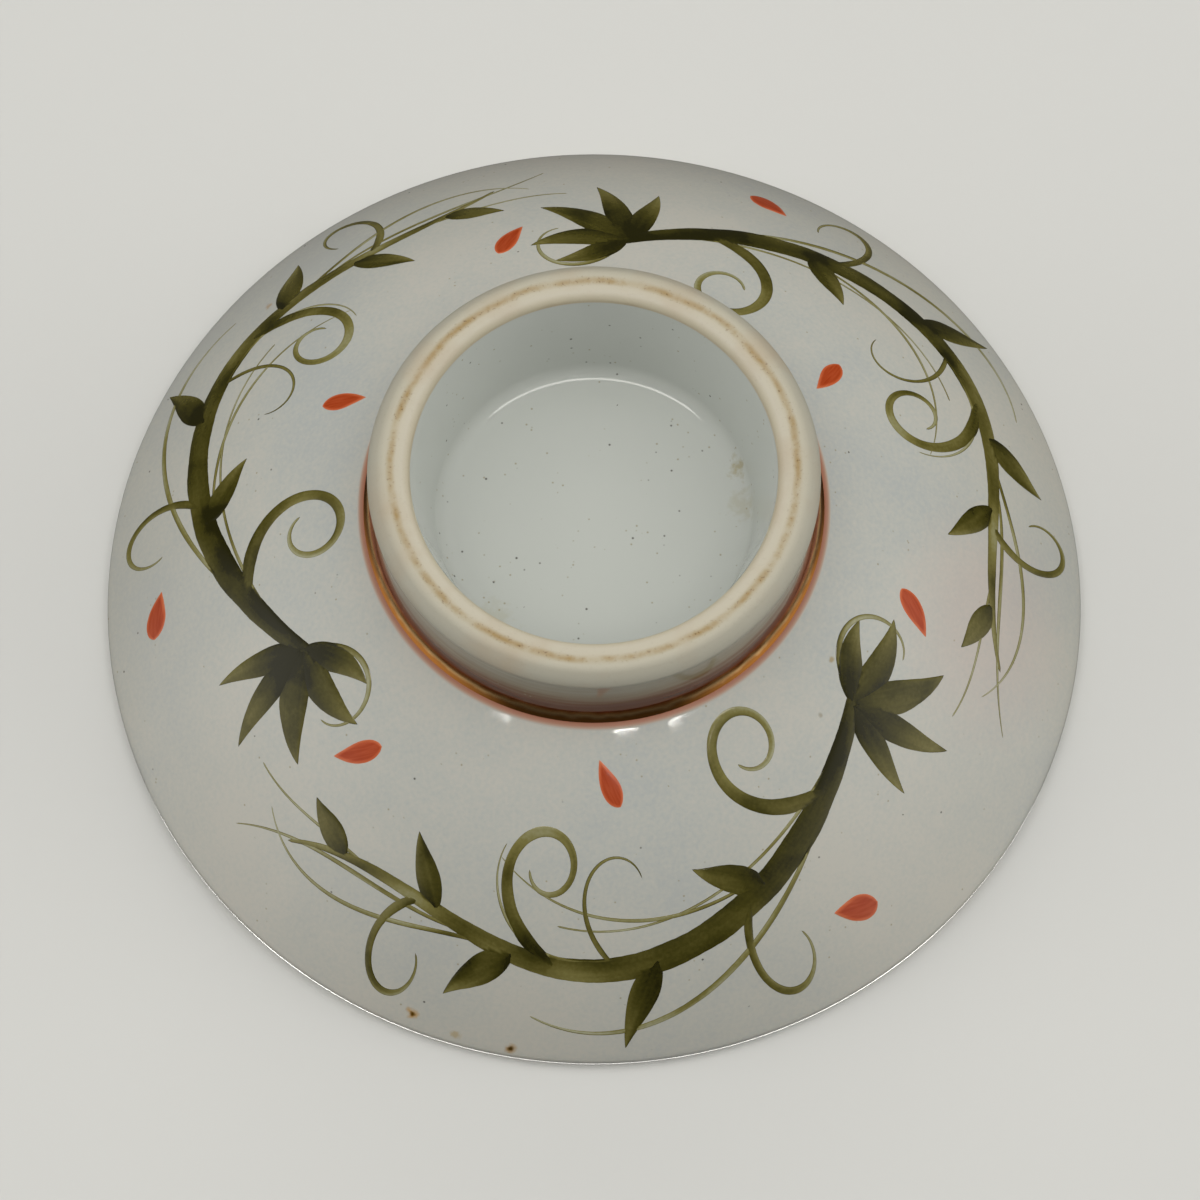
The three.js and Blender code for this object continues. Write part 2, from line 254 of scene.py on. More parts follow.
gilt_run = [p for p in foot_wall if p.y >= GILT_FROM]
gilt_run += [p for p in out_from_crease[1:] if p.x <= CREASE_RADIUS + GILT_ON_BOWL]
gilt_face = bezier([gilt_run[0], GILT_PULL, gilt_run[-1]], 14)
gilt_section = gilt_face + shifted(gilt_run, GILT_SUNK)[::-1]
gilt_line = turn_on_wheel("gilt_line_brushed", gilt_section + gilt_section[:1])
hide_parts("gilt_line")

# %% [markdown]
# ## Brush strokes
# Each stroke is one pull of a pointed brush. Its path is a line whose bend changes evenly, as a
# wrist makes it, and its width follows how hard the brush presses. A grid of points is carried onto
# the bowl's wall: one way along the path, the other way across it, domed like wet enamel. Extruding
# in edit mode can't follow a double-curved wall so closely, so the grid's points are placed in
# code.

# %% Brush paths and pressures
FINE = 5  # points for each step of the CAD's own drawing
LEAF_STEPS = 8


def brush_run(start, heading, length, bends, steps):
    """Points (x, y, heading) of a stroke; its bend, in degrees a mm, changes evenly."""
    x, y = start
    run = [(x, y, heading)]
    stride = length / steps
    for i in range(steps):
        turn = (bends[0] + (bends[1] - bends[0]) * (i + 0.5) / steps) * stride
        heading += turn / 2
        x += stride * math.cos(math.radians(heading))
        y += stride * math.sin(math.radians(heading))
        heading += turn / 2
        run.append((x, y, heading))
    return run


# How hard the brush presses at a share of the stroke, so how wide it is there.
PRESSURE = {
    "stem": lambda t: min(1, 0.4 + 3 * t) * max(1 - t ** 1.6, 0) ** 0.9 + 0.12,
    "curl": lambda t: min(1, 0.55 + 3 * t) * max(1 - t, 0) ** 0.7 + 0.16,
    "hair": lambda t: 1 - 0.6 * t,
    "line": lambda t: 0.25 + 0.75 * max(math.sin(math.pi * t ** 0.8), 0),
    "leaf": lambda t: max(math.sin(math.pi * t ** 0.7), 0) ** 0.95 + 0.03,
}
# How much enamel the brush leaves, from 0 to 1, at a share of the stroke.
LOAD = {
    "stem": lambda t: 1.0 - 0.6 * t,
    "curl": lambda t: 0.75 - 0.5 * t,
    "hair": lambda t: 0.42 - 0.3 * t,
    "line": lambda t: 0.45 - 0.4 * t * t,
    "leaf": lambda t: 1.0 - 0.5 * t,
}
print("kinds of stroke:", ", ".join(PRESSURE))

# %% A stroke laid on the bowl's wall
ACROSS = 10
ENAMEL = 0.035  # height of a broad stroke, in millimetres
LOW_ENAMEL = 0.014  # height of the finest one
DOME = 0.12  # height of the strokes between, as a share of half their width
SUNK = 0.03  # how far a stroke's edge goes into the glaze
END_ROUNDING = 0.6  # length of a stroke's rounded end, as a share of its half width
WAVER = 0.07  # how much a stroke's edge wanders, as a share of its half width
WAVER_PER_MM = 0.4
LOAD_VARIES = 0.3  # how much more or less enamel lies here and there
LOAD_SEED = 40


def wall_at(radius):
    """Height and slope of the bowl's wall at a radius."""
    for a, b in zip(bowl_wall, bowl_wall[1:]):
        if radius <= b.x:
            share = (radius - a.x) / (b.x - a.x)
            return a.lerp(b, share).y, (b - a).normalized()
    return bowl_wall[-1].y, (bowl_wall[-1] - bowl_wall[-2]).normalized()


def pressed(kind, width, share, length):
    """Half the stroke's width at a share of its length, with its ends rounded."""
    half = width * PRESSURE[kind](share) / 2
    rounding = END_ROUNDING * half
    narrowest = 0.0004  # so that an end never shrinks to a point
    for end in (share * length, (1 - share) * length):
        if end < rounding:
            half *= math.sqrt(max(1 - (1 - end / rounding) ** 2, narrowest))
    return half


def loaded(kind, share, gone, side, seed):
    """How much enamel lies there: what the brush still holds, more here and less there."""
    place = Vector((gone * 0.22, side * 0.6, seed + LOAD_SEED))
    return LOAD[kind](share) + LOAD_VARIES * noise.noise(place)


def lay_stroke(name, run, width, kind, seed):
    """A domed sheet of enamel along a run, with its load and its distance to the edge."""
    bpy.ops.object.select_all(action="DESELECT")
    last = len(run) - 1
    bpy.ops.mesh.primitive_grid_add(x_subdivisions=last, y_subdivisions=ACROSS, size=1)
    stroke = bpy.context.object
    stroke.name = stroke.data.name = name
    length = sum(math.dist(a[:2], b[:2]) for a, b in zip(run, run[1:]))
    mesh = stroke.data
    edge = mesh.attributes.new("edge_mm", "FLOAT", "POINT")
    load = mesh.attributes.new("load", "FLOAT", "POINT")
    flow = mesh.attributes.new("flow", "FLOAT_VECTOR", "POINT")
    for vertex in mesh.vertices:
        share, side = vertex.co.x + 0.5, math.sin(math.pi * vertex.co.y)
        x, y, heading = run[round(share * last)]
        gone = share * length
        half = pressed(kind, width, share, length)
        own_edge = Vector((gone * WAVER_PER_MM, math.copysign(3, side), seed))
        half *= 1 + WAVER * noise.noise(own_edge)
        across = direction(heading + 90) * half * side
        place = Vector((x, y)) + across
        radius = place.length
        height, along_wall = wall_at(radius)
        dome = max(min(ENAMEL, DOME * half), LOW_ENAMEL) * (1 - side ** 4) - SUNK * side ** 8
        out = Vector((along_wall.y, -along_wall.x))
        skin = Vector((radius, height)) + out * dome
        vertex.co = Vector((place.x * skin.x / radius, place.y * skin.x / radius, skin.y)) * MM
        edge.data[vertex.index].value = half * (1 - abs(side))
        load.data[vertex.index].value = loaded(kind, share, gone, side, seed)
        flow.data[vertex.index].vector = (gone, half * side, seed)
    return stroke


# %% [markdown]
# Wet strokes that cross run together. So each point also asks every other stroke how deep it lies
# in it, and takes that depth and that load where they are greater. A k-d tree finds the nearest
# point of a path quickly.

# %% Let wet strokes run together
RUN_IN = 0.2  # millimetres over which the deeper stroke's load takes over


def path_tree(run):
    tree = kdtree.KDTree(len(run))
    for i, (x, y, _) in enumerate(run):
        tree.insert((x, y, 0), i)
    tree.balance()
    return tree


def run_together(strokes, plans):
    """plans has each stroke's run, width, kind and seed, in the order of strokes."""
    trees = [path_tree(plan[0]) for plan in plans]
    lengths = [sum(math.dist(a[:2], b[:2]) for a, b in zip(plan[0], plan[0][1:])) for plan in plans]
    for stroke in strokes:
        edge, load = (stroke.data.attributes[name].data for name in ("edge_mm", "load"))
        for vertex in stroke.data.vertices:
            place = (vertex.co.x / MM, vertex.co.y / MM, 0)
            for other, tree, plan, length in zip(strokes, trees, plans, lengths):
                run, width, kind, seed = plan
                if other == stroke:
                    continue
                _, step, away = tree.find(place)
                if away > width / 2:
                    continue
                share = step / (len(run) - 1)
                depth = pressed(kind, width, share, length) - away
                if depth > edge[vertex.index].value:
                    fade = min(depth / RUN_IN, 1)
                    theirs = loaded(kind, share, share * length, 0, seed)
                    edge[vertex.index].value = depth
                    load[vertex.index].value += max(theirs - load[vertex.index].value, 0) * fade


# %% [markdown]
# A sheet has no thickness, so each stroke gets a Solidify modifier that grows into the glaze. Its
# normals first have to point away from the cup.

# %% Thickness for the strokes
STROKE_DEPTH = 0.1  # most of it lies in the glaze
STROKE_SMOOTH_UNDER = math.radians(50)


def close_strokes(name, strokes):
    """Join a spray's strokes into one piece, after giving each sheet its thickness."""
    bpy.ops.object.select_all(action="DESELECT")
    for stroke in strokes:
        stroke.select_set(True)
    bpy.context.view_layer.objects.active = strokes[0]
    if len(strokes) > 1:
        bpy.ops.object.join()
    piece = bpy.context.object
    piece.name = piece.data.name = name
    bpy.ops.object.mode_set(mode="EDIT")
    bpy.ops.mesh.select_all(action="SELECT")
    bpy.ops.mesh.normals_make_consistent(inside=False)
    bpy.ops.object.mode_set(mode="OBJECT")
    faces_up = sum(face.normal.z * face.area for face in piece.data.polygons)
    if faces_up > 0:
        piece.data.flip_normals()
    shell = piece.modifiers.new("enamel", "SOLIDIFY")
    shell.thickness = STROKE_DEPTH * MM
    shell.offset = -1
    bpy.ops.object.modifier_apply(modifier=shell.name)
    bpy.ops.object.shade_smooth_by_angle(angle=STROKE_SMOOTH_UNDER)
    print(name, len(strokes), "strokes,", len(piece.data.polygons), "faces")
    return piece


# %% [markdown]
# ## The vine
# The painting is a generic scrolling vine: a stem that swings out and back, a fan of palmette
# leaves at its root, curled tendrils, small leaves and hairlines. Three of them go round the bowl.
# One is painted here, and the other two are copies, turned by a third of a circle.

# %% Measures of one spray
SPRAYS = 3
FIRST_TURN = 96  # degrees round the axis to the first spray's root
ROOT_RADIUS = 25.5
STEM_HEADING = 66  # degrees from straight out
STEM_RUNS = [(34, (1.7, 3.5), 20), (24, (3.5, -3), 14)]  # length, bends, steps
STEM_WIDTH = 2.1
ROOT_LAP = 0.9  # how far the stem starts under the leaves at its root

# Share of the stem, side, fan angle, length, bends at start and end, width, kind.
BRANCHES = [
    (0, -1, 152, 8, (2, 7), 2.4, "leaf"), (0, -1, 118, 8.5, (1, 6), 2.6, "leaf"),
    (0, -1, 82, 8, (0, 6), 2.5, "leaf"), (0, -1, 46, 7, (-1, 5), 2.3, "leaf"),
    (0, 1, 160, 6.5, (2, 8), 2.2, "leaf"),
    (0.12, 1, 30, 23, (3, 34), 1.2, "curl"), (0.04, 1, 10, 30, (1.2, 4), 0.35, "hair"),
    (0.3, -1, 34, 12.5, (8, 34), 0.75, "curl"), (0.58, 1, 22, 21, (3, 37), 1.1, "curl"),
    (0.5, 1, 40, 12, (6, 30), 0.45, "curl"), (0.8, -1, 32, 12.5, (9, 37), 0.75, "curl"),
    (0.26, 1, 50, 6, (-4, 8), 2.1, "leaf"), (0.44, -1, 46, 6, (-4, 8), 2.3, "leaf"),
    (0.66, -1, 40, 6, (-4, 8), 2.2, "leaf"), (0.76, 1, 44, 5.5, (-4, 8), 2, "leaf"),
    (0.92, 1, 34, 5, (-4, 8), 1.8, "leaf"), (0.88, 1, 14, 12, (-2, 5), 0.3, "hair"),
    (0, 1, 134, 13, (6, 30), 0.5, "line"), (0.09, -1, 6, 34, (-1.2, -4.6), 0.45, "line"),
    (0.2, 1, 12, 26, (2, 5), 0.3, "line"), (0.42, 1, 16, 20, (-2.5, 16), 0.4, "line"),
    (0.7, -1, 12, 22, (-3.2, 3), 0.35, "line"), (0.62, 1, 8, 26, (-2.6, 7), 0.35, "line"),
]
# Degrees round from the spray's root, distance from the axis, tilt, length, width.
BUDS = [(15, 36.2, 100, 3.8, 1.8), (49, 24.2, 150, 3.6, 1.7), (96, 25.2, 40, 3.9, 1.8)]
BUD_BENDS = (4, 4)
BUD_SEED = 60
print(len(BRANCHES), "branches and", len(BUDS), "buds to a spray")

# %% Paint one spray
stem = [(*direction(FIRST_TURN) * ROOT_RADIUS, FIRST_TURN + STEM_HEADING)]
for length, bends, steps in STEM_RUNS:
    stem += brush_run(stem[-1][:2], stem[-1][2], length, bends, steps * FINE)[1:]
from_root = direction(stem[0][2]) * ROOT_LAP
lead_in = brush_run(Vector(stem[0][:2]) - from_root, stem[0][2], ROOT_LAP, (0, 0), FINE)[:-1]
plans = [(lead_in + stem, STEM_WIDTH, "stem", 1)]
stem_steps = sum(steps for _, _, steps in STEM_RUNS)
for number, (share, side, fan, length, bends, width, kind) in enumerate(BRANCHES):
    x, y, heading = stem[round(share * stem_steps) * FINE]
    steps = (LEAF_STEPS if kind == "leaf" else math.ceil(length)) * FINE
    run = brush_run((x, y), heading + side * fan, length, [side * bend for bend in bends], steps)
    plans.append((run, width, kind, number + 2))
strokes = [lay_stroke(f"{plan[2]}_{number}", *plan) for number, plan in enumerate(plans)]
run_together(strokes, plans)
vine = close_strokes("vine_spray_1", strokes)

# %% Paint its buds
def lay_bud(number, bud):
    around, out, tilt, length, width = bud
    place = direction(FIRST_TURN + around) * out
    run = brush_run(place, FIRST_TURN + around + tilt, length, BUD_BENDS, LEAF_STEPS * FINE)
    dab = lay_stroke("bud", run, width, "leaf", BUD_SEED + number)
    return close_strokes(f"bud_mark_1_{number}", [dab])


bud_marks = [lay_bud(number, bud) for number, bud in enumerate(BUDS, 1)]

# %% Copy the spray and its buds round the bowl
def turned_copy(piece, name, degrees):
    """A copy with its own mesh, turned round the cup's axis."""
    bpy.ops.object.select_all(action="DESELECT")
    piece.select_set(True)
    bpy.context.view_layer.objects.active = piece
    bpy.ops.object.duplicate(linked=False)
    copy = bpy.context.object
    copy.name = copy.data.name = name
    copy.data.transform(Matrix.Rotation(math.radians(degrees), 4, "Z"))
    return copy


vines, buds = [vine], {(1, j): mark for j, mark in enumerate(bud_marks, 1)}
for i in range(2, SPRAYS + 1):
    turn = (i - 1) * 360 / SPRAYS
    vines.append(turned_copy(vine, f"vine_spray_{i}", turn))
    for j, mark in enumerate(bud_marks, 1):
        buds[i, j] = turned_copy(mark, f"bud_mark_{i}_{j}", turn)
for i, piece in enumerate(vines, 1):
    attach(piece, "root")
    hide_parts(f"vine_{i}")
for (i, j), piece in buds.items():
    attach(piece, "root")
    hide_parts(f"bud_{i}_{j}")
print(len(vines), "sprays and", len(buds), "buds")

# %% [markdown]
# ## Colours and nodes
# Colours are written as sRGB hex values, as a paint card gives them, and turned to the linear
# values that shader sockets take. One function adds any node, and short ones add the kinds that
# come up most, so that a finish reads as a list of steps.

# %% Helpers for finishes
MIX_RESULT = 2  # the colour output of a Mix node; its colour inputs are 6 and 7


def paint(hex_value):
    """Linear RGBA of an sRGB hex colour."""
    channels = [int(hex_value[i:i + 2], 16) / 255 for i in (1, 3, 5)]
    linear = [c / 12.92 if c <= 0.04045 else ((c + 0.055) / 1.055) ** 2.4 for c in channels]
    return (*linear, 1.0)


def add_node(material, kind, inputs=None, **settings):
    """Add a node with its settings, and fill inputs with values or with other nodes' outputs."""
    tree = material.node_tree
    node = tree.nodes.new(kind)
    for name, value in settings.items():
        setattr(node, name, value)
    for key, value in (inputs or {}).items():
        if isinstance(value, bpy.types.NodeSocket):
            tree.links.new(value, node.inputs[key])
        else:
            node.inputs[key].default_value = value
    return node


def add_noise(material, at, scale, detail, roughness=0.5):
    return add_node(material, "ShaderNodeTexNoise", {"Vector": at, "Scale": scale,
                                                     "Detail": detail, "Roughness": roughness})


def add_math(material, operation, *values):
    return add_node(material, "ShaderNodeMath", dict(enumerate(values)), operation=operation)


def add_range(material, value, before, after=(0.0, 1.0), **settings):
    """Carry a value from one range to another; a value outside stays at the range's end."""
    sockets = dict(enumerate((value, *before, *after)))
    return add_node(material, "ShaderNodeMapRange", sockets, **settings)


def add_mix(material, share, first, second):
    return add_node(material, "ShaderNodeMix", {0: share, 6: first, 7: second}, data_type="RGBA")


def add_ramp(material, value, stops):
    """Colours along a value: each stop is a position and a colour."""
    node = add_node(material, "ShaderNodeValToRGB", {0: value})
    ramp = node.color_ramp.elements
    while len(ramp) < len(stops):
        ramp.new(1.0)
    for element, (position, colour) in zip(ramp, stops):
        element.position, element.color = position, paint(colour)
    return node


def new_finish(name, roughness, metallic=0.0, ior=1.5):
    """A material with its Principled shader, and a socket that gives places in millimetres."""
    material = bpy.data.materials.new(name)
    material.use_nodes = True
    shader = material.node_tree.nodes["Principled BSDF"]
    shader.inputs["Roughness"].default_value = roughness
    shader.inputs["Metallic"].default_value = metallic
    shader.inputs["IOR"].default_value = ior
    place = add_node(material, "ShaderNodeTexCoord").outputs["Object"]
    in_mm = add_node(material, "ShaderNodeVectorMath", {0: place, "Scale": 1 / MM},
                     operation="SCALE")
    return material, shader, in_mm.outputs[0]


def feed(material, shader, **sockets):
    for name, output in sockets.items():
        material.node_tree.links.new(output, shader.inputs[name.replace("_", " ")])


def from_axis(material, at):
    """Height above the table and distance from the cup's axis, in millimetres."""
    apart = add_node(material, "ShaderNodeSeparateXYZ", {0: at})
    flat = add_node(material, "ShaderNodeCombineXYZ", {0: apart.outputs[0], 1: apart.outputs[1]})
    away = add_node(material, "ShaderNodeVectorMath", {0: flat.outputs[0]}, operation="LENGTH")
    return apart.outputs[2], away.outputs["Value"]


def dress(pieces, material):
    for piece in pieces:
        piece.data.materials.clear()
        piece.data.materials.append(material)
    print(material.name, "on", len(pieces), "pieces,", len(material.node_tree.nodes), "nodes")

# %% [markdown]
# ## Clear glaze over porcelain
# Feldspar glaze on white clay, fired to about 1300 degrees. The eye sees a cool greyish white that
# drifts a little warmer and cooler, small dark iron specks, and a mirror gloss that is slightly
# wavy because the glaze ran while it was molten. The clay can't be seen through it as a separate
# layer, so an opaque white with a glossy surface does the work of the glass.

# %% Glaze colour
DRIFT = 16  # millimetres from one cloud to the next
glaze, glaze_shader, at = new_finish("clear_glaze_on_porcelain", roughness=0.055)
drift = add_noise(glaze, at, 1 / DRIFT, 8.0, 0.62)
fine = add_noise(glaze, at, 1 / 0.35, 2.0)
clouded = add_math(glaze, "MULTIPLY_ADD", fine.outputs[0], 0.5, drift.outputs[0])
cloud = add_math(glaze, "SUBTRACT", clouded.outputs[0], 0.25)
white = add_ramp(glaze, cloud.outputs[0], [(0.33, "#b0b4b2"), (0.5, "#b8bab4"), (0.67, "#bfbeb6")])
print("white drifts over", DRIFT, "mm")

# %% [markdown]
# The glaze on the foot's wall is painted a brownish grey that turns dark brown next to the gold,
# in faint uneven rings: painted shade, and a painted reflection of the gold and the iron red.
# Height alone doesn't say where that is, because the bowl passes the same height further out, so
# the foot's radius is asked too. The inside of the cup passes the same radius higher up, so both
# tints stop below the clay of the floor.

# %% Painted shade on the foot's wall
FOOT_SHADE_RADIUS = 18.25
WELL_SIDE, FOOT_SIDE = 16.0, 16.8  # radii between the well's glaze and the foot wall's
LIP_FROM, LIP_TO = 26.0, 39.0  # radii over which the bowl's glaze turns warmer
height, radius = from_axis(glaze, at)
under_floor = add_range(glaze, height, (WELL_DEPTH + 0.6, WELL_DEPTH + 1.6), (1.0, 0.0))
out_of_well = add_range(glaze, radius, (WELL_SIDE, FOOT_SIDE), (0.0, under_floor.outputs[0]))
on_foot = add_range(glaze, radius, (FOOT_SHADE_RADIUS, FOOT_SHADE_RADIUS + 0.4),
                    (out_of_well.outputs[0], 0.0))
flattened = add_node(glaze, "ShaderNodeVectorMath", {0: at, 1: (0.12, 0.12, 2.6)},
                     operation="MULTIPLY")
rings = add_noise(glaze, flattened.outputs[0], 1.0, 3.0)
up_foot = add_range(glaze, height, (NECK.y, GILT_FROM), (-0.17, 0.83))
ringed = add_math(glaze, "MULTIPLY_ADD", rings.outputs[0], 0.34, up_foot.outputs[0])
# Painted shade and a painted reflection of the gold: the wall darkens and browns towards the gold.
foot_wall_shade = add_ramp(glaze, ringed.outputs[0],
                [(0.0, "#bbb8a9"), (0.22, "#a8a291"), (0.46, "#968c78"), (0.64, "#836c54"),
                 (0.77, "#6e462a"), (0.9, "#5a2a0a")])
near_lip = add_range(glaze, radius, (LIP_FROM, LIP_TO), (0.0, 0.22))
skin = add_mix(glaze, near_lip.outputs[0], white.outputs[0], paint("#beb7a5"))
with_foot_shade = add_mix(glaze, on_foot.outputs[0], skin.outputs[MIX_RESULT], foot_wall_shade.outputs[0])
in_well = add_range(glaze, radius, (WELL_SIDE, FOOT_SIDE), (under_floor.outputs[0], 0.0))
pooled_glaze = add_mix(glaze, in_well.outputs[0], with_foot_shade.outputs[MIX_RESULT], paint("#bcc0bb"))
colour = pooled_glaze.outputs[MIX_RESULT]
print("shaded from", round(NECK.y, 2), "to", GILT_FROM, "mm up the foot")

# %% [markdown]
# A speck is a grain of iron that melted through, a fifth of a millimetre across. Voronoi cells give
# each grain its own place. A random value for each cell keeps only a few of them, more where a slow
# noise says so, because the grains lie in clusters, and most of them in the well, where the glaze
# pooled.

# %% Specks in the glaze
WELL_MIDDLE = (0, 0, 8)
# Spacing, share left out where clear and where crowded, radius, strength, colour.
SPECKS = [
    (0.62, 0.97, 0.86, 0.13, 0.9, "#45403a"),
    (0.42, 0.98, 0.78, 0.12, 0.65, "#8d8260"),
]
from_well = add_node(glaze, "ShaderNodeVectorMath", {0: at, 1: WELL_MIDDLE}, operation="DISTANCE")
fewer = add_range(glaze, from_well.outputs["Value"], (15.0, 17.5), (0.0, 0.075))
crowds = add_noise(glaze, at, 1 / 3.2, 2.0)
for spacing, clear, crowded, size, strength, tint in SPECKS:
    cells = add_node(glaze, "ShaderNodeTexVoronoi", {"Vector": at, "Scale": 1 / spacing,
                                                     "Randomness": 1.0})
    chosen = add_node(glaze, "ShaderNodeSeparateColor", {0: cells.outputs["Color"]})
    crowd = add_range(glaze, crowds.outputs[0], (0.48, 0.68), (clear, crowded))
    bar = add_math(glaze, "ADD", crowd.outputs[0], fewer.outputs[0])
    keep = add_math(glaze, "GREATER_THAN", chosen.outputs[0], bar.outputs[0])
    grain = add_range(glaze, cells.outputs["Distance"], (0.4 * size / spacing, size / spacing),
                      (strength, 0.0))
    speck = add_math(glaze, "MULTIPLY", grain.outputs[0], keep.outputs[0])
    mix = add_mix(glaze, speck.outputs[0], colour, paint(tint))
    colour = mix.outputs[MIX_RESULT]
print(len(SPECKS), "kinds of speck, one grain at most in each", [row[0] for row in SPECKS], "mm")

# %% [markdown]
# Some marks have their own place on this cup: brown iron spots with an orange halo near the lip, a
# yellowish stain in the foot's well, and a pink blush where the flame touched the bowl. Each is the
# distance from one point, and noise frays its outline.

# %% Marks with a place of their own
fray = add_noise(glaze, at, 1 / 0.7, 4.0)
frayed = add_node(glaze, "ShaderNodeVectorMath", {0: fray.outputs[1], 1: (-0.5, -0.5, -0.5)},
                  operation="ADD")
# Places on the inside of the bowl are lifted out of reach, so that no mark shows through the wall.
OUT_OF_REACH = 30.0
facing = add_node(glaze, "ShaderNodeNewGeometry").outputs["Normal"]
facing_up = add_node(glaze, "ShaderNodeSeparateXYZ", {0: facing})
lift = add_range(glaze, facing_up.outputs[2], (0.0, 0.2), (0.0, OUT_OF_REACH))
lifting = add_node(glaze, "ShaderNodeCombineXYZ", {2: lift.outputs[0]})
lifted = add_node(glaze, "ShaderNodeVectorMath", {0: at, 1: lifting.outputs[0]}, operation="ADD")


def on_wall(x, y):
    return (x, y, wall_at(math.hypot(x, y))[0])


# Place, radius, how far the outline frays, strength at the middle, colour.
KILN_MARKS = [
    (on_wall(-32, -6), 11.0, 4.0, 0.3, "#bca69f"),
    (on_wall(14.6, -36.3), 0.62, 1.0, 0.8, "#b58a3c"),
    (on_wall(14.6, -36.3), 0.3, 0.4, 1.0, "#5c4010"),
    (on_wall(11.1, -37.9), 0.5, 1.0, 0.55, "#a8905a"),
    (on_wall(6.7, -39.0), 0.58, 0.8, 0.8, "#a47c34"),
    (on_wall(6.7, -39.0), 0.34, 0.4, 1.0, "#4b360e"),
    (on_wall(25.6, 25.1), 0.6, 1.2, 0.7, "#a8875a"),
    (on_wall(26.9, 23.6), 0.5, 1.0, 0.6, "#a8875a"),
    (on_wall(-18.9, -12.1), 0.3, 0.4, 0.7, "#9c8653"),
    (on_wall(-18.0, -16.3), 0.24, 0.3, 0.6, "#8d8672"),
    ((-11.6, 4.1, WELL_DEPTH - 0.3), 1.0, 2.6, 0.6, "#9c8e5e"),
    ((-12.0, 0.8, WELL_DEPTH - 0.4), 1.6, 4.0, 0.3, "#a39a76"),
    ((8.2, -9.0, WELL_DEPTH - 0.1), 2.2, 5.0, 0.25, "#aaa482"),
]
for place, reach, spread, strength, tint in KILN_MARKS:
    around = add_node(glaze, "ShaderNodeVectorMath", {0: frayed.outputs[0], 1: (spread,) * 3,
                                                      2: lifted.outputs[0]},
                      operation="MULTIPLY_ADD")
    away = add_node(glaze, "ShaderNodeVectorMath", {0: around.outputs[0], 1: place},
                    operation="DISTANCE")
    mark = add_range(glaze, away.outputs["Value"], (0.35 * reach, reach), (strength, 0.0))
    mix = add_mix(glaze, mark.outputs[0], colour, paint(tint))
    colour = mix.outputs[MIX_RESULT]
feed(glaze, glaze_shader, Base_Color=colour)
print(len(KILN_MARKS), "marks of the kiln")

# %% Waves of the glaze
waves = add_noise(glaze, at, 1 / 3.5, 2.0)
rolling = add_node(glaze, "ShaderNodeBump", {"Height": waves.outputs[0], "Strength": 1.0,
                                             "Distance": 0.009 * MM})
feed(glaze, glaze_shader, Normal=rolling.outputs[0])
dress([cup_glaze, well_glaze], glaze)

# %% [markdown]
# ## Bare porcelain
# The end of the foot was wiped clean of glaze so that it wouldn't stick in the kiln. Bare porcelain
# is matt and cream, flashed orange where the flame reached its inner edge, with a brown line worn
# and stained into the crest by years of standing on tables.

# %% Bare porcelain
biscuit, biscuit_shader, at = new_finish("bare_porcelain", roughness=0.62)
height, radius = from_axis(biscuit, at)
sway = add_noise(biscuit, at, 1 / 6, 4.0)
swayed = add_math(biscuit, "MULTIPLY_ADD", sway.outputs[0], 0.5, radius)
across_foot = add_range(biscuit, swayed.outputs[0], (14.7, 18.3))
# Cream that darkens towards the outer edge of the foot: partly its own tone, partly painted shade
# where the bevel turns away from the light. The orange at the inner edge is the flame's flashing.
cream_and_outer_shade = add_ramp(biscuit, across_foot.outputs[0],
                 [(0.0, "#b0a288"), (0.06, "#bbb39c"), (0.2, "#bfb9a8"), (0.42, "#bbb5a2"),
                  (0.55, "#b6b19f"), (0.9, "#adaa9b")])
flashes = add_range(biscuit, sway.outputs[0], (0.5, 0.72), (0.0, 0.4))
flashed = add_mix(biscuit, flashes.outputs[0], cream_and_outer_shade.outputs[0], paint("#ad977a"))
print("flashed and creamy porcelain:", len(biscuit.node_tree.nodes), "nodes so far")

# %% The stained crest
CREST_RADIUS = 16.35  # with the sway's middle added
off_crest = add_math(biscuit, "SUBTRACT", swayed.outputs[0], CREST_RADIUS)
from_crest = add_math(biscuit, "ABSOLUTE", off_crest.outputs[0])
line = add_range(biscuit, from_crest.outputs[0], (0.0, 0.5), (1.0, 0.0),
                 interpolation_type="SMOOTHSTEP")
patches = add_noise(biscuit, at, 1 / 2.2, 5.0, 0.6)
patchy = add_range(biscuit, patches.outputs[0], (0.38, 0.62), (0.25, 0.85))
stain = add_math(biscuit, "MULTIPLY", line.outputs[0], patchy.outputs[0])
crest = add_mix(biscuit, stain.outputs[0], flashed.outputs[MIX_RESULT], paint("#967a40"))
grit = add_noise(biscuit, at, 1 / 0.26, 2.0)
near_crest = add_range(biscuit, from_crest.outputs[0], (0.15, 0.5), (patchy.outputs[0], 0.06))
dots = add_range(biscuit, grit.outputs[0], (0.6, 0.7), (0.0, 0.9))
dotted = add_math(biscuit, "MULTIPLY", dots.outputs[0], near_crest.outputs[0])
stained = add_mix(biscuit, dotted.outputs[0], crest.outputs[MIX_RESULT], paint("#66492a"))
grain = add_node(biscuit, "ShaderNodeBump", {"Height": grit.outputs[0], "Strength": 1.0,
                                             "Distance": 0.012 * MM})
feed(biscuit, biscuit_shader, Base_Color=stained.outputs[MIX_RESULT], Normal=grain.outputs[0])
dress([bowl, foot_ring], biscuit)

# %% [markdown]
# ## Iron red and gold
# Iron red is a thin salmon wash that fades into the glaze at its outer edge. The gold was burnished
# after firing: a soft gloss and brush marks along the line. Its colour is painted by height: dark
# brown along its upper edge as painted shade, a bright band across its middle as a painted
# highlight, and duller at its lower edge, with noise for patches worn thin.

